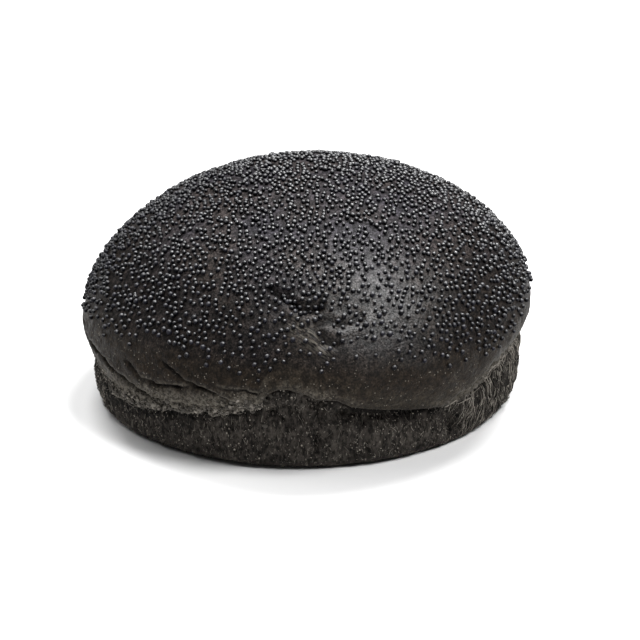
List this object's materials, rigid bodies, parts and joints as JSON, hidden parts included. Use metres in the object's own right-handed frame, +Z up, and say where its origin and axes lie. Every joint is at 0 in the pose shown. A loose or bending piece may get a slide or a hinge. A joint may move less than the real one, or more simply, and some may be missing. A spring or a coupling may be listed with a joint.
{
  "type": "black burger bun with poppy seeds",
  "caption": "Round whole black burger bun: seeded domed crown with a rolled rim, overlapping crust layers and a torn side wall.",
  "frame": {"origin": "middle of the bun's footprint, on the surface it rests on", "axes": "+Z up, -Y the front of the bun with the lifted rim, +X its right side"},
  "size_m": [0.107, 0.1068, 0.0551],
  "materials": {
    "crust": "satin charcoal-black baked crust",
    "torn_side": "matt charcoal-black torn crumb with upright fibres",
    "seeds": "blue-black poppy seeds with a small sheen"
  },
  "bodies": {
    "root": {"bun": "crust"}
  },
  "joints": []
}
